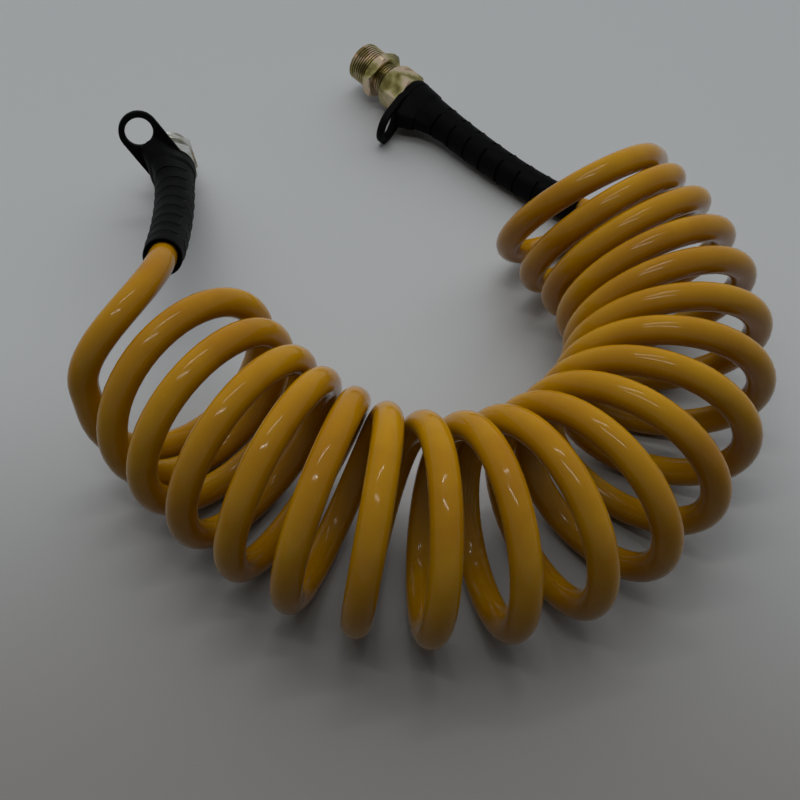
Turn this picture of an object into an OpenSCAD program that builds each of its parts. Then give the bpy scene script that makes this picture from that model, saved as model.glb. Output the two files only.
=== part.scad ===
// Coiled air hose: one wound tube with a rubber boot and a threaded fitting at each end.
// Millimetres, +Z up. It lies on Z = 0 with the origin under the middle of its outline.

/* [Tube] */
// Outside diameter of the tube
tube_od = 12; // [11:0.25:13]
// Bore of the tube, which the support sleeve fits
tube_bore = 9; // [7:0.25:9.5]

/* [Coil] */
// Radius of a loop, to the middle of the tube
loop_r = 39; // [36:0.5:42]
// Space between loops that lie in a straight row
loop_gap = 4; // [3.9:0.1:8]

/* [Boot] */
// Rubber wall at the mouth, where the hose comes out
mouth_wall = 2; // [1.25:0.25:3]
// Rubber wall just behind the cup
neck_wall = 3; // [2.5:0.25:4.5]
// Rubber wall of the cup round the nut's collar
cup_wall = 2; // [1.5:0.1:3]
// Length of the cup
cup_length = 15; // [12:0.5:20]
// How far the sleeve runs into the cup
sleeve_lap = 3; // [2:0.5:6]
// Number of grooves along the boot
groove_count = 8; // [4:1:9]
// Depth of a groove
groove_depth = 0.7; // [0.3:0.1:1]

/* [Lug] */
// Thickness of the lug's plate
plate_t = 4; // [3:0.25:4.5]
// Width of the band round the lug's hole
lug_band = 3; // [2:0.25:4]
// Diameter of the lug's hole
lug_hole = 13.5; // [10:0.5:16]
// Distance from the boot's axis to the hole
lug_reach = 25.5; // [22:0.25:30]

/* [Nut] */
// Across the flats of the nut
nut_af = 22; // [21.5:0.25:26]
// Length of the nut in front of the cup
nut_length = 15; // [14.5:0.25:20]
// Diameter of the nut's collar inside the cup
collar_od = 18; // [16:0.25:19]
// Length of the collar
collar_length = 4; // [3:0.25:6]
// Size of the thread between nut and stud
joint_thread = 18; // [17:0.25:19]
// Length of that thread in mesh
engaged = 7.5; // [6:0.25:8]

/* [Stud] */
// Across the flats of the stud's hexagon
stud_af = 24; // [23:0.25:30]
// Thickness of the hexagon
stud_hex = 6; // [5:0.5:12]
// Bare thread between nut and hexagon
neck_gap = 6; // [1:0.25:8]
// Size of the thread at the free end
end_thread = 22; // [18:0.5:24]
// Length of the thread at the free end
end_length = 13; // [9:0.5:18]
// Air passage through the stud
passage = 8; // [5:0.25:10]
// Depth of the socket that the tube enters
socket_depth = 6.5; // [4:0.25:8]

/* [Seal] */
// Length of the olive
olive_length = 5; // [3:0.25:5.2]
// Thickness of the olive on the tube
olive_wall = 1; // [0.8:0.05:1.2]
// Length of the support sleeve inside the tube
sleeve_length = 14; // [8:0.5:18]
// Wall of the support sleeve
sleeve_wall = 1; // [0.6:0.05:1.4]
// Thickness of the sleeve's flange
sleeve_flange = 0.8; // [0.5:0.05:1.2]

/* [Clearances] */
// Radial play in the thread, which is plain here
thread_play = 0.05; // [0.02:0.01:0.09]
// Play round the tube, the olive and the collar
free_play = 0.3; // [0.2:0.05:0.4]
// Play of the olive and the sleeve on the tube
snug_play = 0.05; // [0.02:0.01:0.1]
// Play of the boot on the tube
boot_play = 0.25; // [0.2:0.05:0.4]
// Height of the fittings clear of the ground
ground_gap = 0.5; // [0.2:0.1:3]

/* [Hidden] */

tube_r = tube_od / 2;
collar_r = collar_od / 2;
ring_r = lug_hole / 2 + lug_band;
// Step from the lug's sides down to its root, which keeps their faces apart
web_step = 0.25;
cup_r = collar_r + free_play + cup_wall;
knee = cup_r - 1;
joint_r = joint_thread / 2;
end_r = end_thread / 2;
olive_r = tube_r + snug_play + olive_wall;
sleeve_r = tube_bore / 2 - snug_play;
// Places along a fitting's axis, counted from the cup's front face
stud_back = nut_length - engaged;
olive_back = stud_back - free_play - olive_length;
socket_floor = stud_back + socket_depth;
tube_end = socket_floor - free_play - sleeve_flange;
hex_back = nut_length + neck_gap;
hex_front = hex_back + stud_hex;
stud_front = hex_front + end_length;
chamfer = 1;

// The coil: 24 rings of 6 corners to a loop, and a flat foot where it touches the ground
loop_steps = 24;
coil_sides = 6;
foot_cut = tube_od / 10;
loop_z = loop_r + tube_r - foot_cut;
first_turn = 1.25;
last_turn = 20.125;
coil_start = [-96.5, 300, 0];
// The coil's course, as turn and value: heading in degrees, how much the course bends
// between loops, how far each loop's top leans along the course, and its sideways swing
heading = [[1, -56], [3.5, -43], [6, -29], [8.5, 5], [11, 40], [13.5, 67], [16, 99],
    [18.5, 127], [21, 113]];
bend = [[1, 0.02], [3.5, 0.07], [6, 0.09], [8.5, 0.155], [11, 0.17], [13.5, 0.17],
    [16, 0.14], [18.5, 0.08], [21, 0.07]];
lean = [[1, -6], [3.5, 4], [6, 7], [8.5, 7], [11, 3], [13.5, 0], [16, -7], [18.5, -17],
    [21, -25]];
swing = [[1, 6], [3.5, 3], [6, 7], [8.5, 3], [11, 2], [13.5, 7], [16, 7], [18.5, -1],
    [21, 6]];

left_side = [1, 0, 0];
right_side = [0.5, 0.866, 0];
free_steps = 10;
boot_steps = 16;
// Where the sleeve's last free ring stands on its curve, just behind the cup
sleeve_seat = 0.97;
tube_sides = 12;
// Each lug's turn about the boot's axis and how far it leans back from the plate
left_lug = [148, 0];
right_lug = [84.5, 17];
left_hex_turn = 50;
right_hex_turn = 50;
$fn = 96;

function unit(v) = v / norm(v);
function square_to(v, t) = unit(v - (v * t) * t);
function way(h, p) = [cos(p) * cos(h), cos(p) * sin(h), sin(p)];
function bezier(p, s) = pow(1 - s, 3) * p[0] + 3 * pow(1 - s, 2) * s * p[1]
    + 3 * (1 - s) * s * s * p[2] + pow(s, 3) * p[3];

// How far a lug reaches below its cup's front face, on an axis that rises by p
function lug_drop(turn, lean_back, p) = let (arm = lug_reach - knee,
    slant = cos(lean_back) * sin(p) - sin(lean_back) * cos(turn) * cos(p))
    (knee + arm * cos(lean_back)) * cos(turn) * cos(p) + arm * sin(lean_back) * sin(p)
    + ring_r * sqrt(1 - slant * slant) + plate_t * max(0, slant);

// The coil's course on the ground, one point a step
function turn_of(i) = 1 + i / loop_steps;
function heading_at(i) = lookup(turn_of(i), heading);
function pitch_at(i) = tube_od + loop_gap + loop_r * lookup(turn_of(i), bend);
function stride(i) = (pitch_at(i) + pitch_at(i + 1)) / 2 / loop_steps
    * way((heading_at(i) + heading_at(i + 1)) / 2, 0);
coil_last = (last_turn - 1) * loop_steps;
coil_first = (first_turn - 1) * loop_steps;
course = [for (i = 0, p = coil_start; i <= coil_last + 1; p = p + stride(i), i = i + 1) p];

// The tube's middle line on the coil
function outward(i) = let (h = heading_at(i), a = 360 * turn_of(i))
    [sin(h) * sin(a), -cos(h) * sin(a), cos(a)];
function coil_point(i) = let (a = 360 * turn_of(i), t = turn_of(i)) course[i]
    + loop_r * outward(i) + [0, 0, loop_z]
    + way(heading_at(i), 0) * (lookup(t, swing) * sin(a) + lookup(t, lean) * cos(a));
loops = [for (i = [coil_first : coil_last]) coil_point(i)];
back_way = unit(coil_point(coil_first - 1) - coil_point(coil_first + 1));
on_way = unit(coil_point(coil_last + 1) - coil_point(coil_last - 1));
left_joint = loops[0] + tube_od * back_way;
right_joint = loops[len(loops) - 1] + tube_od * on_way;
coil_path = concat([left_joint], loops, [right_joint]);
coil_out = concat([outward(coil_first)], [for (i = [coil_first : coil_last]) outward(i)],
    [outward(coil_last)]);

// The least gap between loops, from each point to the pieces of tube a loop away
function to_piece(p, a, b) = let (s = min(1, max(0, (p - a) * (b - a) / ((b - a) * (b - a)))))
    norm(p - a - s * (b - a));
least_gap = min([for (i = [0 : len(loops) - 1])
    for (j = [i + 14 : min(i + 56, len(loops) - 2)])
    to_piece(loops[i], loops[j], loops[j + 1])]) - tube_od;

// The fittings: how far the cup's front face and the boot's mouth lie from the end of the
// coil that they belong to, and the cup's heading and rise in degrees
left_end = loops[0];
left_reach = [0.6, 162.5];
left_arch = [20.6, 58.8];
arch_drop = 2;
left_heading = 106;
left_rise = -26;
left_z = ground_gap - (stud_front + engaged) * sin(left_rise) + end_r * cos(left_rise);
left_front = [left_end[0] + left_reach[0], left_end[1] + left_reach[1], left_z];
right_end = loops[len(loops) - 1];
right_reach = [-114.2, 107.6];
right_arch = [-21.3, 32];
right_heading = 138.5;
right_rise = 5;
right_z = ground_gap + max(nut_af / 2 / cos(30), lug_drop(right_lug[0], right_lug[1], right_rise),
    stud_af / 2 / cos(30) - hex_back * sin(right_rise));
right_front = [right_end[0] + right_reach[0], right_end[1] + right_reach[1], right_z];
// The way the hose runs through each boot's mouth, and the handles of the curves
mouth_r = tube_r + boot_play + mouth_wall;
neck_r = tube_r + boot_play + neck_wall;
left_mouth = [left_end[0] + left_arch[0], left_end[1] + left_arch[1],
    2 * loop_r - arch_drop];
left_mouth_way = [97, -28];
left_handles = [21, 46, 52, 20];
right_mouth = [right_end[0] + right_arch[0], right_end[1] + right_arch[1],
    mouth_r + ground_gap];
right_mouth_way = [156, 0];
right_handles = [40, 30, 35, 18];

// The hose from the coil to the boot's mouth, through the boot and into the stud
left_way = way(left_heading, left_rise);
right_way = way(right_heading, right_rise);
left_cup = left_front - cup_length * left_way;
right_cup = right_front - cup_length * right_way;
left_in = way(left_mouth_way[0], left_mouth_way[1]);
right_in = way(right_mouth_way[0], right_mouth_way[1]);
function handles(a, a_way, b, b_way, m, n) = [a, a + m * a_way, b - n * b_way, b];
left_free = handles(left_joint, back_way, left_mouth, left_in,
    left_handles[0], left_handles[1]);
left_bend = handles(left_mouth, left_in, left_cup, left_way,
    left_handles[2], left_handles[3]);
right_free = handles(right_joint, on_way, right_mouth, right_in,
    right_handles[0], right_handles[1]);
right_bend = handles(right_mouth, right_in, right_cup, right_way,
    right_handles[2], right_handles[3]);
function tail_path(free, curve, front, axis) = concat(
    [for (i = [0 : free_steps - 1]) bezier(free, i / free_steps)],
    [for (i = [0 : boot_steps]) bezier(curve, i / boot_steps)],
    [front + tube_end * axis]);

// The outline's middle, which the origin lies under
function local_x(h, p) = [sin(p) * cos(h), sin(p) * sin(h), -cos(p)];
function local_y(h) = [-sin(h), cos(h), 0];
left_ring = left_front - plate_t / 2 * left_way
    + lug_reach * (cos(left_lug[0]) * local_x(left_heading, left_rise)
    + sin(left_lug[0]) * local_y(left_heading));
low_x = left_ring[0] - ring_r * sqrt(1 - pow(left_way[0], 2)) + plate_t / 2 * left_way[0];
high_x = max([for (p = loops) p[0]]) + tube_r;
low_y = min([for (p = loops) p[1]]) - tube_r;
high_y = right_front[1] + max([for (c = [0, chamfer]) (stud_front - c) * right_way[1]
    + (end_r - chamfer + c) * sqrt(1 - pow(right_way[1], 2))]);
middle = [(low_x + high_x) / 2, (low_y + high_y) / 2, 0];

module laid() {
    translate(-middle) children();
}

module on_axis(front, h, p) {
    laid() translate(front) rotate([0, 90 - p, h]) children();
}

function ways(path, first, last) = [for (i = [0 : len(path) - 1])
    i == 0 ? first : i == len(path) - 1 ? last : unit(path[i + 1] - path[i - 1])];

function rings(path, along, side, radius, sides) = [for (i = [0 : len(path) - 1])
    let (n = square_to(side[i], along[i]), m = cross(along[i], n))
    for (k = [0 : sides - 1])
    path[i] + radius[i] * (cos(360 * k / sides) * n + sin(360 * k / sides) * m)];

// Two triangles for each face between ring j and the next, seen from outside or inside
function skin(j, k, n, at, out) = let (a = at + j * n + k, b = at + j * n + (k + 1) % n)
    out ? [[a, a + n, b + n], [a, b + n, b]] : [[a, b + n, a + n], [a, b, b + n]];

// A solid tube along a path
module tube(path, along, side, radius, sides) {
    last = (len(path) - 1) * sides;
    faces = concat(
        [for (j = [0 : len(path) - 2]) for (k = [0 : sides - 1])
            for (f = skin(j, k, sides, 0, true)) f],
        [for (k = [1 : sides - 2]) [0, k, k + 1]],
        [for (k = [1 : sides - 2]) [last, last + k + 1, last + k]]);
    polyhedron(rings(path, along, side, [for (p = path) radius], sides), faces);
}

// A hollow sleeve along a path, with its own outer radius at each ring
module sleeve(path, along, side, outer, inner, sides) {
    count = len(path);
    inside = count * sides;
    last = (count - 1) * sides;
    points = concat(rings(path, along, side, outer, sides),
        rings(path, along, side, [for (p = path) inner], sides));
    faces = concat(
        [for (j = [0 : count - 2]) for (k = [0 : sides - 1])
            for (f = skin(j, k, sides, 0, true)) f],
        [for (j = [0 : count - 2]) for (k = [0 : sides - 1])
            for (f = skin(j, k, sides, inside, false)) f],
        [for (k = [0 : sides - 1]) let (n = (k + 1) % sides)
            for (f = [[k, n, inside + n], [k, inside + n, inside + k]]) f],
        [for (k = [0 : sides - 1]) let (a = last + k, b = last + (k + 1) % sides)
            for (f = [[a, b + inside, b], [a, a + inside, b + inside]]) f]);
    polyhedron(points, faces);
}

module tail(free, curve, start_way, front, axis, side, h, p) {
    path = tail_path(free, curve, front, axis);
    difference() {
        laid() tube(path, ways(path, start_way, axis), [for (q = path) side], tube_r,
            tube_sides);
        on_axis(front, h, p) translate([0, 0, tube_end - sleeve_length - free_play])
            cylinder(r = tube_bore / 2, h = sleeve_length + free_play + 1);
    }
}

// The boot's lug, flat with the cup's face or leaning back from it
module lug(turn, lean_back) {
    rotate([0, 0, turn]) {
        translate([0, web_step - ring_r, -plate_t])
            cube([knee, 2 * (ring_r - web_step), plate_t]);
        translate([knee, 0, 0]) rotate([0, lean_back, 0]) translate([0, 0, -plate_t])
            difference() {
                union() {
                    translate([0, -ring_r, 0])
                        cube([lug_reach - knee, 2 * ring_r, plate_t]);
                    translate([lug_reach - knee, 0, 0]) cylinder(r = ring_r, h = plate_t);
                }
                translate([lug_reach - knee, 0, -1])
                    cylinder(r = lug_hole / 2, h = plate_t + 2);
            }
    }
}

// The boot: a grooved sleeve on the hose, a cup over the nut's collar, and the lug
module boot(curve, front, axis, in_way, side, h, p, turn, lean_back) {
    pitch = 1 / (groove_count + 1);
    stations = concat([0], [for (g = [1 : groove_count])
        for (s = [-0.12, 0, 0.12]) (g + s) * pitch], [sleeve_seat]);
    depths = concat([0], [for (g = [1 : groove_count])
        for (s = [0, groove_depth, 0]) s], [0]);
    path = concat([for (s = stations) bezier(curve, s)],
        [front - (cup_length - sleeve_lap) * axis]);
    outer = concat([for (i = [0 : len(stations) - 1])
        mouth_r + (neck_r - mouth_r) * stations[i] - depths[i]], [neck_r]);
    laid() sleeve(path, ways(path, in_way, axis), [for (q = path) side], outer,
        tube_r + boot_play, tube_sides);
    on_axis(front, h, p) difference() {
        union() {
            translate([0, 0, -cup_length]) cylinder(r = cup_r, h = cup_length);
            lug(turn, lean_back);
        }
        translate([0, 0, -cup_length - 1])
            cylinder(r = tube_r + 2 * free_play, h = cup_length + 2);
        translate([0, 0, -collar_length - 1])
            cylinder(r = collar_r + free_play, h = collar_length + 2);
    }
}

// A hexagon whose corners are turned off at both ends
module hexagon(af, h) {
    corner = af / 2 / cos(30);
    slope = corner - af / 2;
    intersection() {
        cylinder(r = corner, h = h, $fn = 6);
        union() {
            cylinder(r1 = af / 2, r2 = corner, h = slope);
            translate([0, 0, slope]) cylinder(r = corner, h = h - 2 * slope);
            translate([0, 0, h - slope]) cylinder(r1 = corner, r2 = af / 2, h = slope);
        }
    }
}

module nut(front, h, p, turn) {
    on_axis(front, h, p) difference() {
        union() {
            translate([0, 0, -collar_length]) cylinder(r = collar_r, h = collar_length + 1);
            translate([0, 0, free_play]) rotate([0, 0, turn])
                hexagon(nut_af, nut_length - free_play);
        }
        translate([0, 0, -collar_length - 1])
            cylinder(r = tube_r + free_play, h = nut_length);
        translate([0, 0, olive_back - free_play])
            cylinder(r = olive_r + free_play, h = nut_length);
        translate([0, 0, stud_back - free_play])
            cylinder(r = joint_r + thread_play, h = nut_length);
    }
}

module stud(front, h, p, turn) {
    on_axis(front, h, p) difference() {
        union() {
            translate([0, 0, stud_back]) cylinder(r = joint_r, h = engaged + neck_gap + 1);
            translate([0, 0, hex_back]) rotate([0, 0, turn]) hexagon(stud_af, stud_hex);
            translate([0, 0, hex_front - 1]) cylinder(r = end_r, h = end_length + 1 - chamfer);
            translate([0, 0, stud_front - chamfer])
                cylinder(r1 = end_r, r2 = end_r - chamfer, h = chamfer);
        }
        translate([0, 0, stud_back - 1])
            cylinder(r = tube_r + 2 * snug_play, h = socket_depth + 1);
        translate([0, 0, stud_back]) cylinder(r = passage / 2, h = stud_front);
    }
}

module olive(front, h, p) {
    on_axis(front, h, p) translate([0, 0, olive_back]) difference() {
        cylinder(r = olive_r, h = olive_length);
        translate([0, 0, -1]) cylinder(r = tube_r + snug_play, h = olive_length + 2);
    }
}

// The sleeve that holds the tube open under the olive
module insert(front, h, p) {
    on_axis(front, h, p) difference() {
        union() {
            translate([0, 0, tube_end - sleeve_length]) cylinder(r = sleeve_r, h = sleeve_length);
            translate([0, 0, tube_end]) cylinder(r = tube_r - snug_play, h = sleeve_flange);
        }
        translate([0, 0, tube_end - sleeve_length - 1])
            cylinder(r = sleeve_r - sleeve_wall, h = sleeve_length + sleeve_flange + 2);
    }
}

module hose_coil() {
    echo(least_gap_mm = least_gap);
    color("goldenrod") laid() difference() {
        tube(coil_path, ways(coil_path, -back_way, on_way), coil_out, tube_r, coil_sides);
        translate([low_x, low_y, -tube_od])
            cube([high_x - low_x, high_y - low_y, tube_od]);
    }
}

module hose_tail_left() {
    color("goldenrod")
        tail(left_free, left_bend, back_way, left_front, left_way, left_side,
            left_heading, left_rise);
}

module hose_tail_right() {
    color("goldenrod")
        tail(right_free, right_bend, on_way, right_front, right_way, right_side,
            right_heading, right_rise);
}

module boot_left() {
    color("#26272a")
        boot(left_bend, left_front, left_way, left_in, left_side,
            left_heading, left_rise, left_lug[0], left_lug[1]);
}

module boot_right() {
    color("#26272a")
        boot(right_bend, right_front, right_way, right_in, right_side,
            right_heading, right_rise, right_lug[0], right_lug[1]);
}

module nut_left() {
    color("gainsboro") nut(left_front, left_heading, left_rise, left_hex_turn);
}

module nut_right() {
    color("wheat") nut(right_front, right_heading, right_rise, right_hex_turn);
}

module stud_left() {
    color("gainsboro") stud(left_front, left_heading, left_rise, left_hex_turn);
}

module stud_right() {
    color("tan") stud(right_front, right_heading, right_rise, right_hex_turn);
}

module olive_left() {
    color("peru") olive(left_front, left_heading, left_rise);
}

module olive_right() {
    color("peru") olive(right_front, right_heading, right_rise);
}

module insert_left() {
    color("peru") insert(left_front, left_heading, left_rise);
}

module insert_right() {
    color("peru") insert(right_front, right_heading, right_rise);
}

hose_coil();
hose_tail_left();
hose_tail_right();
boot_left();
boot_right();
nut_left();
nut_right();
stud_left();
stud_right();
olive_left();
olive_right();
insert_left();
insert_right();
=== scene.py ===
import math

import bmesh
import bpy
from mathutils import Matrix, Vector


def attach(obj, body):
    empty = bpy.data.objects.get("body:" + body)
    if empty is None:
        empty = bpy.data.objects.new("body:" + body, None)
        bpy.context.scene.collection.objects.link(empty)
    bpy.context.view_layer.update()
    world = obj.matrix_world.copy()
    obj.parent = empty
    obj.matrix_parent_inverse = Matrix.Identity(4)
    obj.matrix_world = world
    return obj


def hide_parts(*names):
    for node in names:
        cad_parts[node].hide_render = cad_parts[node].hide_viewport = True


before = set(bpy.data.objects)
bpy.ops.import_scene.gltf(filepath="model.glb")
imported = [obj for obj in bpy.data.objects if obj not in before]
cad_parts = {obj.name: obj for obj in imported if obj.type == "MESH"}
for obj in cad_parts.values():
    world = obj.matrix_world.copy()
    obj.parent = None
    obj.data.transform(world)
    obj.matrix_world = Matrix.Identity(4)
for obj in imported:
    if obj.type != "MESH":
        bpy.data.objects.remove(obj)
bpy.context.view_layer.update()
mm = 0.001

# Every place below is in millimetres on the layout that the hose was planned on;
# its middle lies over the part's origin.
layoutMiddle = Vector((5.55309, 373.113, 0))


def placed(point):
    return (Vector(point) - layoutMiddle) * mm


# Camera, floor and light

camera = {
    "place": (0, 0, 413),
    "lookDown": 51.93,  # degrees below level
    "roll": 4.66,
    "lens": 51.2,
}
studio = {
    "floorSize": 6.0,
    "floorFar": "#a8aaab",
    # the near floor colour is painted shade: the front of the board is coloured darker where the room's light is
    # blocked
    "floorNearShade": "#7a7774",
    "floorShadeFade": (-0.27, -0.02),  # where the painted shade of the near colour ends and the far one starts, along Y
    "backdrop": "#9c9ea1",
    # the room's soft light comes from above and behind, and fades towards the front
    "roomColour": "#f2f5f8",
    "roomWay": (0.0, 0.8, 0.6),
    "roomFade": (0.1, 0.95),
    "roomStrength": (0.02, 1.5),
    "lamps": [
        # name, place in metres, looks at, width, depth, watts, colour
        ("tubeNear", (-0.2, -0.4, 1.6), (-0.1, 0, 0), 0.9, 0.02, 3.0, "#fffdf8"),
        ("tubeFar", (-0.2, 0.3, 1.6), (-0.1, 0, 0), 0.9, 0.02, 3.0, "#fffdf8"),
    ],
}


def linearColour(hexColour):
    channels = [int(hexColour[i:i + 2], 16) / 255 for i in (1, 3, 5)]
    return [c / 12.92 if c <= 0.04045 else ((c + 0.055) / 1.055) ** 2.4
            for c in channels] + [1.0]


def addNode(tree, kind, values=None, links=None, **settings):
    node = tree.nodes.new(kind)
    for name, value in settings.items():
        setattr(node, name, value)
    for name, value in (values or {}).items():
        node.inputs[name].default_value = value
    for name, source in (links or {}).items():
        tree.links.new(source, node.inputs[name])
    return node


def emptyMaterial(name):
    material = bpy.data.materials.new(name)
    material.use_nodes = True
    material.node_tree.nodes.clear()
    return material, material.node_tree


def makeCamera():
    data = bpy.data.cameras.new("camera")
    data.lens = camera["lens"]
    data.sensor_width = 36
    data.clip_start = 0.01
    body = bpy.data.objects.new("camera", data)
    bpy.context.collection.objects.link(body)
    body.matrix_world = (
        Matrix.Translation(placed(camera["place"]))
        @ Matrix.Rotation(math.radians(90 - camera["lookDown"]), 4, "X")
        @ Matrix.Rotation(math.radians(camera["roll"]), 4, "Z"))
    bpy.context.scene.camera = body


def makeStudio():
    view = bpy.context.scene.view_settings
    view.view_transform = "Standard"

    bm = bmesh.new()
    bmesh.ops.create_grid(bm, x_segments=1, y_segments=1, size=studio["floorSize"] / 2)
    floor = objectFrom(bm, "floor")
    # Painted board: pale grey and flat, with painted shade darkening it towards the front
    material, tree = emptyMaterial("paintedBoard")
    place = addNode(tree, "ShaderNodeTexCoord")
    axes = addNode(tree, "ShaderNodeSeparateXYZ", links={"Vector": place.outputs["Object"]})
    # painted shade: the floor's colour darkens towards the front
    low, high = studio["floorShadeFade"]
    fade = addNode(tree, "ShaderNodeMapRange", {"From Min": low, "From Max": high},
                   {"Value": axes.outputs["Y"]}, interpolation_type="SMOOTHSTEP")
    floorShadeRamp = addNode(tree, "ShaderNodeValToRGB", links={"Fac": fade.outputs["Result"]})
    floorShadeRamp.color_ramp.elements[0].color = linearColour(studio["floorNearShade"])
    floorShadeRamp.color_ramp.elements[1].color = linearColour(studio["floorFar"])
    shader = addNode(tree, "ShaderNodeBsdfPrincipled", {"Roughness": 0.55, "IOR": 1.45},
                     {"Base Color": floorShadeRamp.outputs["Color"]})
    addNode(tree, "ShaderNodeOutputMaterial", links={"Surface": shader.outputs[0]})
    floor.data.materials.append(material)

    world = bpy.data.worlds.new("softRoom")
    bpy.context.scene.world = world
    world.use_nodes = True
    tree = world.node_tree
    tree.nodes.clear()
    place = addNode(tree, "ShaderNodeTexCoord")
    facing = addNode(tree, "ShaderNodeVectorMath",
                     links={0: place.outputs["Generated"]}, operation="DOT_PRODUCT")
    facing.inputs[1].default_value = studio["roomWay"]
    low, high = studio["roomFade"]
    weak, strong = studio["roomStrength"]
    level = addNode(tree, "ShaderNodeMapRange", {
        "From Min": low, "From Max": high, "To Min": weak, "To Max": strong},
        {"Value": facing.outputs["Value"]}, interpolation_type="SMOOTHSTEP")
    room = addNode(tree, "ShaderNodeBackground",
                   {"Color": linearColour(studio["roomColour"])},
                   {"Strength": level.outputs["Result"]})
    # What the camera, metal and glass see of the room is a plain pale backdrop
    backdrop = addNode(tree, "ShaderNodeBackground",
                       {"Color": linearColour(studio["backdrop"]), "Strength": 1.0})
    ray = addNode(tree, "ShaderNodeLightPath")
    seen = addNode(tree, "ShaderNodeMath", links={
        0: ray.outputs["Is Camera Ray"], 1: ray.outputs["Is Glossy Ray"]},
        operation="MAXIMUM")
    seen = addNode(tree, "ShaderNodeMath", links={
        0: seen.outputs["Value"], 1: ray.outputs["Is Transmission Ray"]},
        operation="MAXIMUM")
    light = addNode(tree, "ShaderNodeMixShader", links={
        0: seen.outputs["Value"], 1: room.outputs[0], 2: backdrop.outputs[0]})
    addNode(tree, "ShaderNodeOutputWorld", links={"Surface": light.outputs[0]})

    for name, place, target, width, depth, watts, colour in studio["lamps"]:
        data = bpy.data.lights.new(name, "AREA")
        data.shape = "RECTANGLE"
        data.size = width
        data.size_y = depth
        data.energy = watts
        data.color = linearColour(colour)[:3]
        lamp = bpy.data.objects.new(name, data)
        bpy.context.collection.objects.link(lamp)
        aim = Vector(target) - Vector(place)
        lamp.matrix_world = (Matrix.Translation(place)
                             @ aim.to_track_quat("-Z", "Y").to_matrix().to_4x4())


# Mesh helpers

def objectFrom(bm, name, body=None, sharpAngle=None):
    mesh = bpy.data.meshes.new(name)
    bm.to_mesh(mesh)
    bm.free()
    return objectFromMesh(mesh, name, body, sharpAngle)


def objectFromMesh(mesh, name, body=None, sharpAngle=None):
    piece = bpy.data.objects.new(name, mesh)
    bpy.context.collection.objects.link(piece)
    if sharpAngle is not None:
        mesh.polygons.foreach_set("use_smooth", [True] * len(mesh.polygons))
        mesh.set_sharp_from_angle(angle=math.radians(sharpAngle))
    if body:
        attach(piece, body)
    return piece


def withModifiers(piece, name, *modifiers):
    # Each modifier is its kind and its settings; the helpers are used up with it
    for kind, settings in modifiers:
        modifier = piece.modifiers.new(kind.title(), kind)
        for key, value in settings.items():
            setattr(modifier, key, value)
    bpy.context.view_layer.update()
    graph = bpy.context.evaluated_depsgraph_get()
    mesh = bpy.data.meshes.new_from_object(piece.evaluated_get(graph))
    mesh.name = name
    tools = [settings["object"] for kind, settings in modifiers if "object" in settings]
    for used in [piece] + tools:
        bpy.data.objects.remove(used)
    return mesh


# The hose's route

hose = {
    "diameter": 12,
    "bore": 9, "openEnd": 14.3,  # how far the bore is open inside each fitting
    "loopRadius": 39,
    "loopGap": 4,
    "stepsPerTurn": 48,
    "firstTurn": 1.25,
    "lastTurn": 20.125,
    "courseStart": (-96.5, 300, 0),
    # turn and value: the coil's heading, the bend between loops, each loop's lean along
    # the course and its sideways swing
    "heading": ((1, -56), (3.5, -43), (6, -29), (8.5, 5), (11, 40), (13.5, 67),
                (16, 99), (18.5, 127), (21, 113)),
    "bend": ((1, 0.02), (3.5, 0.07), (6, 0.09), (8.5, 0.155), (11, 0.17), (13.5, 0.17),
             (16, 0.14), (18.5, 0.08), (21, 0.07)),
    "lean": ((1, -6), (3.5, 4), (6, 7), (8.5, 7), (11, 3), (13.5, 0), (16, -7),
             (18.5, -17), (21, -25)),
    "swing": ((1, 6), (3.5, 3), (6, 7), (8.5, 3), (11, 2), (13.5, 7), (16, 7),
              (18.5, -1), (21, 6)),
    "bevelResolution": 12,
}
# Each end: the cup's front face, its heading and rise in degrees, the mouth of the boot
# and the way the hose runs through it, and the handles of the two curves
ends = {
    "left": {
        "front": (-122.037, 431.841, 31.209),
        "heading": 106, "rise": -26,
        "mouth": (-102.037, 328.141, 76),
        "mouthHeading": 97, "mouthRise": -28,
        "handles": (21, 46, 52, 20),
        "lugTurn": 148, "lugLean": 0,
        "nutTurn": 50, "flangeTurn": 50,
    },
    "right": {
        "front": (-7.674, 529.377, 13.215),
        "heading": 138.5, "rise": 5,
        "mouth": (85.226, 453.777, 8.75),
        "mouthHeading": 156, "mouthRise": 0,
        "handles": (40, 30, 35, 18),
        "lugTurn": 84.5, "lugLean": 17,
        "nutTurn": 49, "flangeTurn": 52,
    },
}
cupLength = 15
tubeEnd = 12.9  # how far past the cup's front the tube ends, inside the stud


def lookUp(turn, stations):
    for (t0, v0), (t1, v1) in zip(stations, stations[1:]):
        if turn <= t1:
            return v0 + (v1 - v0) * (turn - t0) / (t1 - t0)
    return stations[-1][1]


def wayOf(heading, rise=0):
    h, r = math.radians(heading), math.radians(rise)
    return Vector((math.cos(r) * math.cos(h), math.cos(r) * math.sin(h), math.sin(r)))


def bezierPoint(p, s):
    return ((1 - s) ** 3 * p[0] + 3 * (1 - s) ** 2 * s * p[1]
            + 3 * (1 - s) * s * s * p[2] + s ** 3 * p[3])


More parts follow.
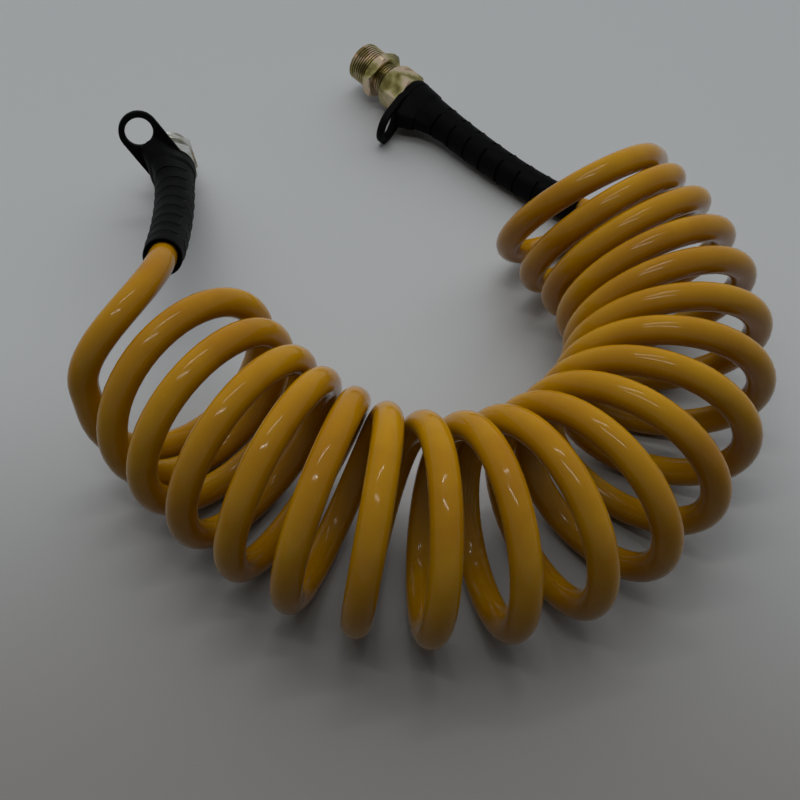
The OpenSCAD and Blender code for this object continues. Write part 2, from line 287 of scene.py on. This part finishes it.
def coilPoints():
    steps = hose["stepsPerTurn"]
    first = round((hose["firstTurn"] - 1) * steps)
    last = round((hose["lastTurn"] - 1) * steps)

    def pitch(i):
        bend = lookUp(1 + i / steps, hose["bend"])
        return hose["diameter"] + hose["loopGap"] + hose["loopRadius"] * bend

    course = Vector(hose["courseStart"])
    points = []
    for i in range(last + 2):
        turn = 1 + i / steps
        heading = lookUp(turn, hose["heading"])
        angle = 2 * math.pi * turn
        along = wayOf(heading)
        across = Vector((along.y, -along.x, 0))
        points.append(
            course
            + hose["loopRadius"] * (across * math.sin(angle) + Vector((0, 0, math.cos(angle))))
            + Vector((0, 0, hose["loopRadius"] + hose["diameter"] / 2))
            + along * (lookUp(turn, hose["swing"]) * math.sin(angle)
                       + lookUp(turn, hose["lean"]) * math.cos(angle)))
        nextHeading = lookUp(turn + 1 / steps, hose["heading"])
        course = course + (wayOf((heading + nextHeading) / 2)
                           * (pitch(i) + pitch(i + 1)) / 2 / steps)
    backWay = (points[first - 1] - points[first + 1]).normalized()
    onWay = (points[last + 1] - points[last - 1]).normalized()
    return points[first:last + 1], backWay, onWay


def endFrame(end):
    # The fitting's own axes: X leans down, Y lies level, Z points out of the hose
    z = wayOf(end["heading"], end["rise"])
    y = wayOf(end["heading"] + 90)
    x = y.cross(z)
    basis = Matrix((x, y, z)).transposed().to_4x4()
    return (Matrix.Translation(placed(end["front"])) @ basis
            @ Matrix.Diagonal((mm, mm, mm, 1)))


def bootCurve(end):
    axis = wayOf(end["heading"], end["rise"])
    inWay = wayOf(end["mouthHeading"], end["mouthRise"])
    mouth = Vector(end["mouth"])
    cup = Vector(end["front"]) - cupLength * axis
    return [mouth, mouth + end["handles"][2] * inWay, cup - end["handles"][3] * axis, cup]


def freeCurve(end, joint, way):
    inWay = wayOf(end["mouthHeading"], end["mouthRise"])
    mouth = Vector(end["mouth"])
    return [joint, joint + end["handles"][0] * way, mouth - end["handles"][1] * inWay, mouth]


def endPoints(end, joint, way):
    # From the coil outwards to the tube's own end inside the stud
    free, boot = freeCurve(end, joint, way), bootCurve(end)
    axis = wayOf(end["heading"], end["rise"])
    points = [bezierPoint(free, i / 20) for i in range(20)]
    points += [bezierPoint(boot, i / 24) for i in range(25)]
    return points + [Vector(end["front"]) + axis * (tubeEnd * i / 3 - cupLength * (3 - i) / 3)
                     for i in (1, 2, 3)]


def makeHose():
    loops, backWay, onWay = coilPoints()
    left = endPoints(ends["left"], loops[0] + hose["diameter"] * backWay, backWay)
    right = endPoints(ends["right"], loops[-1] + hose["diameter"] * onWay, onWay)
    route = [placed(p) for p in left[::-1] + loops + right]
    curve = bpy.data.curves.new("airHose", "CURVE")
    curve.dimensions = "3D"
    curve.bevel_depth = hose["diameter"] / 2 * mm
    curve.bevel_resolution = hose["bevelResolution"]
    curve.use_fill_caps = True
    spline = curve.splines.new("POLY")
    spline.points.add(len(route) - 1)
    for point, place in zip(spline.points, route):
        point.co = (*place, 1)
    spline.use_smooth = True
    tube = bpy.data.objects.new("tube", curve)
    bpy.context.collection.objects.link(tube)
    mesh = withModifiers(tube, "tube")
    bm = bmesh.new()
    bm.from_mesh(mesh)
    bmesh.ops.remove_doubles(bm, verts=bm.verts, dist=1e-6)
    bmesh.ops.recalc_face_normals(bm, faces=bm.faces)
    tube = objectFrom(bm, "tube")
    cuts = []
    for end in (ends["left"], ends["right"]):
        bore = lathe([(0.01, tubeEnd - hose["openEnd"]),
                      (hose["bore"] / 2, tubeEnd - hose["openEnd"]),
                      (hose["bore"] / 2, tubeEnd - 0.3),
                      (hose["bore"] / 2 + 0.3, tubeEnd + 0.1), (0.01, tubeEnd + 0.1)], 48)
        bore.transform(endFrame(end))
        cuts.append(("BOOLEAN", {"object": objectFrom(bore, "bore"),
                                 "operation": "DIFFERENCE", "solver": "EXACT"}))
    mesh = withModifiers(tube, "airHose", *cuts)
    piece = objectFromMesh(mesh, "airHose", "hose", 40)
    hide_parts("hose_coil", "hose_tail_left", "hose_tail_right")
    length = sum((b - a).length for a, b in zip(route, route[1:]))
    print("hose length", round(length, 3), "m,", len(route), "points")
    return piece, route, length


# The rubber boots

boot = {
    "mouthWall": 2, "neckWall": 3, "tubePlay": 0.25,
    "mouthFlare": 1.35, "flareDepth": 11,
    "cupRadius": 11.3, "cupShoulder": 0.8, "collarRadius": 9.3, "collarDepth": 5,
    "plate": 4, "ringRadius": 9.75, "holeRadius": 6.75, "lugReach": 25.5,
    "edge": 0.5,
    # bend relief: slots cut across the sleeve, each in two arcs with a bridge between
    "slots": 8, "slotDepth": 0.9, "slotWidth": 1.5, "slotLip": 0.35,
    "webLength": 30, "webShare": 0.42,
    "segments": 112, "crowding": 0.62,
}


def plateRadius(angle):
    # The plate's outline round the boot's axis: the cup's circle, two straight sides
    # and the round end of the lug
    w, reach = boot["ringRadius"], boot["lugReach"]
    c, s = math.cos(angle), abs(math.sin(angle))
    if c <= 0:
        return boot["cupRadius"]
    if s * reach < w and (s < 1e-6 or w * c / s > reach):
        return reach * c + math.sqrt(max(0, w * w - (reach * s) ** 2))
    return max(boot["cupRadius"], w / s)


def makeBoot(side):
    end = ends[side]
    curve = bootCurve(end)
    axis = wayOf(end["heading"], end["rise"])
    turn = math.radians(end["lugTurn"])
    y = wayOf(end["heading"] + 90)
    lugWay = math.cos(turn) * y.cross(axis) + math.sin(turn) * y
    inner = hose["diameter"] / 2 + boot["tubePlay"]
    mouthR, neckR = inner + boot["mouthWall"], inner + boot["neckWall"]
    knee = boot["cupRadius"] - 1
    lean = math.radians(end["lugLean"])
    n = 60
    line = [bezierPoint(curve, i / n) for i in range(n + 1)]
    reach = [0]
    for a, b in zip(line, line[1:]):
        reach.append(reach[-1] + (b - a).length)
    sleeve = reach[-1]
    total = sleeve + cupLength

    def at(s):
        # Place and direction s millimetres along from the mouth
        if s >= sleeve:
            return curve[3] + axis * (s - sleeve), axis
        i = max(k for k in range(n) if reach[k] <= s)
        f = (s - reach[i]) / (reach[i + 1] - reach[i])
        a = bezierPoint(curve, max(0, (i + f - 0.5) / n))
        b = bezierPoint(curve, min(1, (i + f + 0.5) / n))
        return line[i].lerp(line[i + 1], f), (b - a).normalized()

    def ringPoint(s, angle, radius):
        centre, along = at(s)
        across = (lugWay - along * lugWay.dot(along)).normalized()
        x, y, z = radius * math.cos(angle), radius * math.sin(angle), 0
        if lean and x > knee and s > sleeve:
            x, z = knee + (x - knee) * math.cos(lean), -(x - knee) * math.sin(lean)
        return placed(centre + across * x + along.cross(across) * y + along * z)

    def bodyRadius(s):
        if s < sleeve + 0.2:
            return mouthR + (neckR - mouthR) * min(1, s / sleeve)
        shoulder = neckR + boot["cupShoulder"]
        return shoulder + (boot["cupRadius"] - shoulder) * (s - sleeve) / cupLength

    def webbed(s, angle):
        g = max(0, 1 - (total - s - boot["plate"]) / boot["webLength"])
        r = bodyRadius(s)
        return r + (plateRadius(angle) - r) * boot["webShare"] * g ** 1.6

    def slotShare(angle):
        return max(0, min(1, (abs(math.cos(angle)) - 0.22) / 0.2))

    # One profile, mouth to front outside and back to the mouth inside:
    # place along the boot and radius at each angle
    flare = inner + boot["mouthFlare"]
    rings = [(0.0, lambda a: flare + 0.25), (0.1, lambda a: mouthR - 0.35),
             (0.5, lambda a: mouthR - 0.05), (1.2, lambda a: mouthR)]
    pitch = sleeve / (boot["slots"] + 1)
    half, lip = boot["slotWidth"] / 2, boot["slotLip"]
    for g in range(1, boot["slots"] + 1):
        middle = g * pitch
        rings.append((middle - pitch / 2, lambda a, s=middle - pitch / 2: webbed(s, a)))
        for ds, depth, rim in ((-half - 2, 0, 0), (-half - 0.1, 0, lip), (-half + 0.1, 1, 0),
                               (half - 0.1, 1, 0), (half + 0.1, 0, 0), (half + 2, 0, 0)):
            rings.append((middle + ds, lambda a, s=middle + ds, d=depth, m=rim:
                          webbed(s, a) + slotShare(a) * (m - d * boot["slotDepth"])))
    for s in (sleeve - 3, sleeve - 0.5, sleeve + 0.5, sleeve + 3, sleeve + 5.5,
              sleeve + 7.5, sleeve + 9.3, total - boot["plate"]):
        rings.append((s, lambda a, s=s: webbed(s, a)))
    e = boot["edge"]
    rings += [(total - boot["plate"], lambda a: max(plateRadius(a) - e, webbed(total, a))),
              (total - boot["plate"] + e * 0.3, lambda a: plateRadius(a) - e * 0.3),
              (total - boot["plate"] + e, plateRadius),
              (total - e, plateRadius),
              (total - e * 0.3, lambda a: plateRadius(a) - e * 0.3),
              (total, lambda a: plateRadius(a) - e),
              (total, lambda a: boot["collarRadius"] + 0.4),
              (total - 0.4, lambda a: boot["collarRadius"]),
              (total - boot["collarDepth"], lambda a: boot["collarRadius"]),
              (total - boot["collarDepth"], lambda a: inner)]
    rings += [(sleeve * k / 12, lambda a: inner) for k in range(12, 1, -1)]
    rings += [(boot["flareDepth"], lambda a: inner), (boot["flareDepth"] * 0.6, lambda a:
              inner + boot["mouthFlare"] * 0.5), (2.5, lambda a: flare), (0.3, lambda a: flare)]

    bm = bmesh.new()
    circle = bmesh.ops.create_circle(bm, segments=boot["segments"], radius=1)["verts"]
    angles = {}
    for v in circle:
        u = math.atan2(v.co.y, v.co.x)
        angles[v] = u - boot["crowding"] * math.sin(u)
    ring = list(circle)
    for v in ring:
        v.co = ringPoint(rings[0][0], angles[v], rings[0][1](angles[v]))
    edges = list(bm.edges)
    for s, radiusAt in rings[1:]:
        made = bmesh.ops.extrude_edge_only(bm, edges=edges)["geom"]
        newRing = [g for g in made if isinstance(g, bmesh.types.BMVert)]
        edges = [g for g in made if isinstance(g, bmesh.types.BMEdge)]
        old = set(ring)
        for v in newRing:
            angles[v] = next(angles[e.other_vert(v)] for e in v.link_edges
                             if e.other_vert(v) in old)
        for v in newRing:
            v.co = ringPoint(s, angles[v], radiusAt(angles[v]))
        ring = newRing
    firstEdges = [e for e in bm.edges if e.is_boundary and e not in set(edges)]
    bmesh.ops.bridge_loops(bm, edges=firstEdges + edges)
    bmesh.ops.recalc_face_normals(bm, faces=bm.faces)
    shell = objectFrom(bm, "shell_" + side)

    # The lug's hole, with its edges rounded off
    r, t, e = boot["holeRadius"], boot["plate"], boot["edge"]
    cutter = lathe([(0.01, -t - 2), (r + e, -t - 2), (r + e, -t), (r + e * 0.3, -t + e * 0.3),
                    (r, -t + e), (r, -e), (r + e * 0.3, -e * 0.3), (r + e, 0), (r + e, 2),
                    (0.01, 2)], 72)
    cutter.transform(endFrame(end) @ Matrix.Rotation(turn, 4, "Z")
                     @ Matrix.Translation((knee, 0, 0)) @ Matrix.Rotation(lean, 4, "Y")
                     @ Matrix.Translation((boot["lugReach"] - knee, 0, 0)))
    tool = objectFrom(cutter, "lugHoleTool")
    mesh = withModifiers(shell, "boot_" + side, ("BOOLEAN", {
        "object": tool, "operation": "DIFFERENCE", "solver": "EXACT"}))
    piece = objectFromMesh(mesh, "rubberBoot_" + side, "hose", 40)
    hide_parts("boot_" + side)
    return piece


# The screw fittings

fitting = {
    "nutFlats": 22, "nutLength": 15, "nutBack": 0.3, "collarRadius": 9, "collarLength": 4,
    "jointRadius": 9, "jointBore": 9.05, "jointPitch": 1.5, "engaged": 7.5,
    "hexFlats": 24, "hexThick": 6, "neckGap": 6,
    "endRadius": 11, "endPitch": 1.5, "endLength": 13, "endChamfer": 1,
    "passage": 4, "socketRadius": 6.1, "socketDepth": 6.5,
    "oliveBack": 2.2, "oliveRadius": 7.05, "freePlay": 0.3,
    "threadSteps": 72, "threadDepth": 0.75,
    "edgeBevel": 0.22,
}


def lathe(profile, segments=96):
    # A closed outline of radius and height, turned right round
    bm = bmesh.new()
    verts = [bm.verts.new((r, 0, z)) for r, z in profile]
    edges = [bm.edges.new((a, b)) for a, b in zip(verts, verts[1:] + verts[:1])]
    bmesh.ops.spin(bm, geom=verts + edges, cent=(0, 0, 0), axis=(0, 0, 1),
                   angle=2 * math.pi, steps=segments, use_merge=True)
    bmesh.ops.remove_doubles(bm, verts=bm.verts, dist=1e-5)
    bmesh.ops.recalc_face_normals(bm, faces=bm.faces)
    return bm


def threadedRod(radius, pitch, low, high, chamferLow=0, chamferHigh=0):
    # A rod with a real winding: one row of teeth swept once round while it climbs a pitch
    depth, steps = fitting["threadDepth"], fitting["threadSteps"]
    bm = bmesh.new()
    count = int((high - low) / pitch) + 4
    start = low - 2 * pitch
    line = []
    for i in range(count):
        z = start + i * pitch
        for r, dz in ((radius - depth, 0.0), (radius - depth, 0.12),
                      (radius - depth / 2, 0.29), (radius, 0.46), (radius, 0.62),
                      (radius - depth / 2, 0.81)):
            line.append(bm.verts.new((r, 0, z + dz * pitch)))
    edges = [bm.edges.new((a, b)) for a, b in zip(line, line[1:])]
    bmesh.ops.spin(bm, geom=line + edges, cent=(0, 0, 0), axis=(0, 0, 1),
                   dvec=(0, 0, pitch / steps), angle=2 * math.pi, steps=steps)
    bmesh.ops.remove_doubles(bm, verts=bm.verts, dist=1e-4)
    for height, up in ((low, -1), (high, 1)):
        cut = bmesh.ops.bisect_plane(
            bm, geom=bm.verts[:] + bm.edges[:] + bm.faces[:], plane_co=(0, 0, height),
            plane_no=(0, 0, up), clear_outer=True)
        rim = [g for g in cut["geom_cut"] if isinstance(g, bmesh.types.BMEdge)]
        bmesh.ops.contextual_create(bm, geom=rim)
    bmesh.ops.recalc_face_normals(bm, faces=bm.faces)
    return bm


def hexBlank(flats, low, high):
    corner = flats / 2 / math.cos(math.pi / 6)
    slope = (corner - flats / 2) * 1.05
    bm = bmesh.new()
    bmesh.ops.create_cone(bm, cap_ends=True, segments=6, radius1=corner, radius2=corner,
                          depth=high - low,
                          matrix=(Matrix.Translation((0, 0, (low + high) / 2))
                                  @ Matrix.Rotation(math.radians(30), 4, "Z")))
    block = objectFrom(bm, "hexBlock")
    turned = objectFrom(lathe([
        (0.5, low - 0.01), (flats / 2 - 0.2, low - 0.01), (corner + 0.1, low + slope * 0.6),
        (corner + 0.1, high - slope * 0.6), (flats / 2 - 0.2, high + 0.01),
        (0.5, high + 0.01)]), "turnedBlank")
    return withModifiers(block, "hexBlank", ("BOOLEAN", {
        "object": turned, "operation": "INTERSECT", "solver": "EXACT"}))


def scratch(mesh, name):
    piece = bpy.data.objects.new(name, mesh)
    bpy.context.collection.objects.link(piece)
    return piece


def makeNut(side):
    end, f = ends[side], fitting
    hexagon = hexBlank(f["nutFlats"], f["nutBack"], f["nutLength"])
    hexagon.transform(Matrix.Rotation(math.radians(end["nutTurn"]), 4, "Z"))
    block = scratch(hexagon, "nutBlock")
    tubeHole = hose["diameter"] / 2 + f["freePlay"]
    pocket = f["oliveRadius"] + f["freePlay"]
    threadStart = f["nutLength"] - f["engaged"] - f["freePlay"]
    collar = objectFrom(lathe([
        (1, -f["collarLength"]), (f["collarRadius"] - 0.3, -f["collarLength"]),
        (f["collarRadius"], -f["collarLength"] + 0.3), (f["collarRadius"], 1), (1, 1)]),
        "collar")
    hole = objectFrom(lathe([
        (0.01, -f["collarLength"] - 1), (tubeHole, -f["collarLength"] - 1),
        (tubeHole, f["oliveBack"] - f["freePlay"]), (pocket, f["oliveBack"] - f["freePlay"]),
        (pocket, threadStart), (f["jointBore"], threadStart),
        (f["jointBore"], f["nutLength"] - 0.5), (f["jointBore"] + 0.7, f["nutLength"] + 0.2),
        (f["jointBore"] + 0.7, f["nutLength"] + 1), (0.01, f["nutLength"] + 1)]), "nutHole")
    mesh = withModifiers(
        block, "nut_" + side,
        ("BOOLEAN", {"object": collar, "operation": "UNION", "solver": "EXACT"}),
        ("BOOLEAN", {"object": hole, "operation": "DIFFERENCE", "solver": "EXACT"}),
        ("BEVEL", {"width": f["edgeBevel"], "segments": 2, "limit_method": "ANGLE",
                   "angle_limit": math.radians(28)}))
    mesh.transform(endFrame(end))
    piece = objectFromMesh(mesh, "compressionNut_" + side, "nut_%s_body" % side,
                           30)
    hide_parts("nut_" + side)
    return piece


def makeStud(side):
    end, f = ends[side], fitting
    hexLow = f["nutLength"] + f["neckGap"]
    hexHigh = hexLow + f["hexThick"]
    front = hexHigh + f["endLength"]
    back = f["nutLength"] - f["engaged"]
    hexagon = hexBlank(f["hexFlats"], hexLow, hexHigh)
    hexagon.transform(Matrix.Rotation(math.radians(end["flangeTurn"]), 4, "Z"))
    block = scratch(hexagon, "hexFlange")
    rod = objectFrom(threadedRod(f["endRadius"], f["endPitch"], hexHigh - 1, front), "rod")
    envelope = objectFrom(lathe([
        (0.01, back - 2), (30, back - 2), (30, front - f["endChamfer"] * 1.6),
        (f["endRadius"] + 0.1, front - f["endChamfer"] * 1.1),
        (f["endRadius"] - f["endChamfer"], front), (0.01, front)]), "envelope")
    neck = objectFrom(threadedRod(f["jointRadius"], f["jointPitch"], back, hexLow + 1),
                      "neck")
    floor = back + f["socketDepth"]
    hole = objectFrom(lathe([
        (0.01, back - 1), (f["socketRadius"] + 0.6, back - 1),
        (f["socketRadius"] + 0.6, back), (f["socketRadius"], back + 0.6),
        (f["socketRadius"], floor), (f["passage"], floor), (f["passage"], front - 0.5),
        (f["passage"] + 0.6, front + 0.1), (f["passage"] + 0.6, front + 1),
        (0.01, front + 1)]), "studHole")
    mesh = withModifiers(
        block, "stud_" + side,
        ("BEVEL", {"width": f["edgeBevel"], "segments": 2, "limit_method": "ANGLE",
                   "angle_limit": math.radians(28)}),
        ("BOOLEAN", {"object": rod, "operation": "UNION", "solver": "EXACT"}),
        ("BOOLEAN", {"object": neck, "operation": "UNION", "solver": "EXACT"}),
        ("BOOLEAN", {"object": envelope, "operation": "INTERSECT", "solver": "EXACT"}),
        ("BOOLEAN", {"object": hole, "operation": "DIFFERENCE", "solver": "EXACT"}))
    mesh.transform(endFrame(end))
    piece = objectFromMesh(mesh, "threadedStud_" + side, "stud_%s_body" % side,
                           30)
    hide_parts("stud_" + side)
    return piece


def paintThreadRootShade(piece, side):
    # The lower half of each thread's groove takes the piece's second material, which paints shade into the thread
    # roots
    end, f = ends[side], fitting
    hexLow = f["nutLength"] + f["neckGap"]
    hexHigh = hexLow + f["hexThick"]
    front = hexHigh + f["endLength"] - f["endChamfer"] * 1.6
    toFitting = endFrame(end).inverted()
    for face in piece.data.polygons:
        x, y, z = toFitting @ face.center
        if hexHigh + 0.2 < z < front:
            crest = f["endRadius"]
        elif f["nutLength"] - f["engaged"] < z < hexLow - 0.2:
            crest = f["jointRadius"]
        else:
            continue
        share = (crest - math.hypot(x, y)) / f["threadDepth"]
        if 0.6 < share < 1.1:
            face.material_index = 1


# Materials

def rampBetween(tree, factor, *stops):
    ramp = addNode(tree, "ShaderNodeValToRGB", links={"Fac": factor})
    spots = ramp.color_ramp.elements
    while len(spots) < len(stops):
        spots.new(0.5)
    for spot, (position, hexColour) in zip(spots, stops):
        spot.position = position
        spot.color = linearColour(hexColour)
    return ramp.outputs["Color"]


tubing = {
    "pale": "#ad7e03", "deep": "#9c6b02",
    "gloss": (0.1, 0.2),
    "cloudSize": 38, "scuffSize": 3, "wrinkleSize": 16,
}


def makeHoseMaterial():
    # Polyurethane tube, extruded: deep glossy amber that lets a little light through its
    # wall, with soft clouds in its colour and fine scuffs in the gloss from handling
    material, tree = emptyMaterial("extrudedPolyurethane")
    place = addNode(tree, "ShaderNodeTexCoord").outputs["Object"]
    cloud = addNode(tree, "ShaderNodeTexNoise",
                    {"Scale": 1000 / tubing["cloudSize"], "Detail": 3.0, "Roughness": 0.55},
                    {"Vector": place})
    scuff = addNode(tree, "ShaderNodeTexNoise",
                    {"Scale": 1000 / tubing["scuffSize"], "Detail": 3.0}, {"Vector": place})
    wrinkle = addNode(tree, "ShaderNodeTexNoise",
                      {"Scale": 1000 / tubing["wrinkleSize"], "Detail": 1.0},
                      {"Vector": place})
    colour = rampBetween(tree, cloud.outputs["Fac"],
                         (0.34, tubing["deep"]), (0.66, tubing["pale"]))
    low, high = tubing["gloss"]
    gloss = addNode(tree, "ShaderNodeMapRange",
                    {"From Min": 0.45, "From Max": 0.75, "To Min": low, "To Max": high},
                    {"Value": scuff.outputs["Fac"]})
    bump = addNode(tree, "ShaderNodeBump", {"Strength": 0.08, "Distance": 0.0002},
                   {"Height": wrinkle.outputs["Fac"]})
    shader = addNode(tree, "ShaderNodeBsdfPrincipled", {
        "IOR": 1.47, "Specular IOR Level": 0.25, "Subsurface Weight": 0.12, "Subsurface Radius": (1.0, 0.42, 0.06),
        "Subsurface Scale": 0.003},
        {"Base Color": colour, "Roughness": gloss.outputs["Result"],
         "Normal": bump.outputs["Normal"]})
    addNode(tree, "ShaderNodeOutputMaterial", links={"Surface": shader.outputs[0]})
    return material


rubber = {
    "black": "#030303", "bloom": "#070707",
    "grainSize": 0.7, "bloomSize": 14,
}


def makeRubberMaterial():
    # Moulded natural rubber: near black and dull, with a fine mould grain and a faint
    # grey bloom where it has been handled
    material, tree = emptyMaterial("mouldedRubber")
    place = addNode(tree, "ShaderNodeTexCoord").outputs["Object"]
    grain = addNode(tree, "ShaderNodeTexNoise",
                    {"Scale": 1000 / rubber["grainSize"], "Detail": 3.0}, {"Vector": place})
    bloom = addNode(tree, "ShaderNodeTexNoise",
                    {"Scale": 1000 / rubber["bloomSize"], "Detail": 4.0, "Roughness": 0.6},
                    {"Vector": place})
    colour = rampBetween(tree, bloom.outputs["Fac"],
                         (0.4, rubber["black"]), (0.72, rubber["bloom"]))
    dullness = addNode(tree, "ShaderNodeMapRange",
                       {"From Min": 0.35, "From Max": 0.7, "To Min": 0.5, "To Max": 0.68},
                       {"Value": bloom.outputs["Fac"]})
    bump = addNode(tree, "ShaderNodeBump", {"Strength": 0.3, "Distance": 0.0002},
                   {"Height": grain.outputs["Fac"]})
    shader = addNode(tree, "ShaderNodeBsdfPrincipled",
                     {"IOR": 1.52, "Specular IOR Level": 0.05},
                     {"Base Color": colour, "Roughness": dullness.outputs["Result"],
                      "Normal": bump.outputs["Normal"]})
    addNode(tree, "ShaderNodeOutputMaterial", links={"Surface": shader.outputs[0]})
    return material


plating = {
    # stops of colour across the plated skin, from thin passivation to thick
    "clear": ((0.3, "#9b9a86"), (0.42, "#c6c7bd"), (0.6, "#dcddda"), (0.74, "#aaa98f")),
    "yellow": ((0.34, "#7d7340"), (0.43, "#b3a86c"), (0.5, "#d9c9a2"), (0.58, "#e6cbb0"),
               (0.68, "#8e8252")),
    "driftSize": 13, "toolMarkSize": 0.35, "roughness": (0.22, 0.4),
}


def makeZincMaterial(name, stops):
    # Zinc plate on turned steel: pale metal, its passivation drifting in colour from
    # place to place, over the fine marks that turning left
    material, tree = emptyMaterial(name)
    place = addNode(tree, "ShaderNodeTexCoord").outputs["Object"]
    drift = addNode(tree, "ShaderNodeTexNoise",
                    {"Scale": 1000 / plating["driftSize"], "Detail": 2.5}, {"Vector": place})
    marks = addNode(tree, "ShaderNodeTexNoise",
                    {"Scale": 1000 / plating["toolMarkSize"], "Detail": 2.0},
                    {"Vector": place})
    low, high = plating["roughness"]
    dullness = addNode(tree, "ShaderNodeMapRange",
                       {"From Min": 0.3, "From Max": 0.7, "To Min": low, "To Max": high},
                       {"Value": drift.outputs["Fac"]})
    bump = addNode(tree, "ShaderNodeBump", {"Strength": 0.12, "Distance": 0.0001},
                   {"Height": marks.outputs["Fac"]})
    shader = addNode(tree, "ShaderNodeBsdfPrincipled", {"Metallic": 1.0},
                     {"Base Color": rampBetween(tree, drift.outputs["Fac"], *stops),
                      "Roughness": dullness.outputs["Result"],
                      "Normal": bump.outputs["Normal"]})
    addNode(tree, "ShaderNodeOutputMaterial", links={"Surface": shader.outputs[0]})
    return material


def makeThreadRootShadeMaterial():
    # Painted shade in the thread roots: a dark brown colour with a dull sheen, standing in for the shade and dark
    # reflection between the thread's flanks
    material, tree = emptyMaterial("threadRootPaintedShade")
    place = addNode(tree, "ShaderNodeTexCoord").outputs["Object"]
    rootShadeNoise = addNode(tree, "ShaderNodeTexNoise", {"Scale": 400.0, "Detail": 2.0},
                   {"Vector": place})
    shader = addNode(tree, "ShaderNodeBsdfPrincipled",
                     {"Roughness": 0.4, "IOR": 1.48, "Specular IOR Level": 0.4},
                     {"Base Color": rampBetween(tree, rootShadeNoise.outputs["Fac"],
                                                (0.35, "#2b2117"), (0.7, "#5a4a32"))})
    addNode(tree, "ShaderNodeOutputMaterial", links={"Surface": shader.outputs[0]})
    return material


def makeBrassMaterial():
    # Brass, turned and left bare: warm yellow metal that has begun to dull
    material, tree = emptyMaterial("turnedBrass")
    place = addNode(tree, "ShaderNodeTexCoord").outputs["Object"]
    tarnish = addNode(tree, "ShaderNodeTexNoise", {"Scale": 300.0, "Detail": 3.0},
                      {"Vector": place})
    dullness = addNode(tree, "ShaderNodeMapRange", {"To Min": 0.25, "To Max": 0.45},
                       {"Value": tarnish.outputs["Fac"]})
    shader = addNode(tree, "ShaderNodeBsdfPrincipled", {"Metallic": 1.0},
                     {"Base Color": rampBetween(tree, tarnish.outputs["Fac"],
                                                (0.35, "#b08d4a"), (0.65, "#d9b76a")),
                      "Roughness": dullness.outputs["Result"]})
    addNode(tree, "ShaderNodeOutputMaterial", links={"Surface": shader.outputs[0]})
    return material


makeCamera()
makeStudio()
ends["left"]["zinc"] = "clear_zinc"
ends["right"]["zinc"] = "yellow_zinc"
airHose, hoseRoute, hoseLength = makeHose()
airHose.data.materials.append(makeHoseMaterial())
rubberSkin = makeRubberMaterial()
clearZinc = makeZincMaterial("clearZincPlate", plating["clear"])
yellowZinc = makeZincMaterial("yellowZincPlate", plating["yellow"])
# painted shade for the thread roots
threadRootShade = makeThreadRootShadeMaterial()
brass = makeBrassMaterial()


def dress(piece, *materials):
    piece.data.materials.clear()
    for material in materials:
        piece.data.materials.append(material)
    return piece


onHose = []
for side, zinc in (("left", clearZinc), ("right", yellowZinc)):
    # the stud's second material paints shade into its thread roots
    stud = dress(makeStud(side), zinc, threadRootShade)
    paintThreadRootShade(stud, side)
    onHose += [dress(makeBoot(side), rubberSkin), dress(makeNut(side), zinc), stud]
    for node in ("olive_", "insert_"):
        dress(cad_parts[node + side], brass)
    print("made the", side, "end")

bpy.context.view_layer.update()
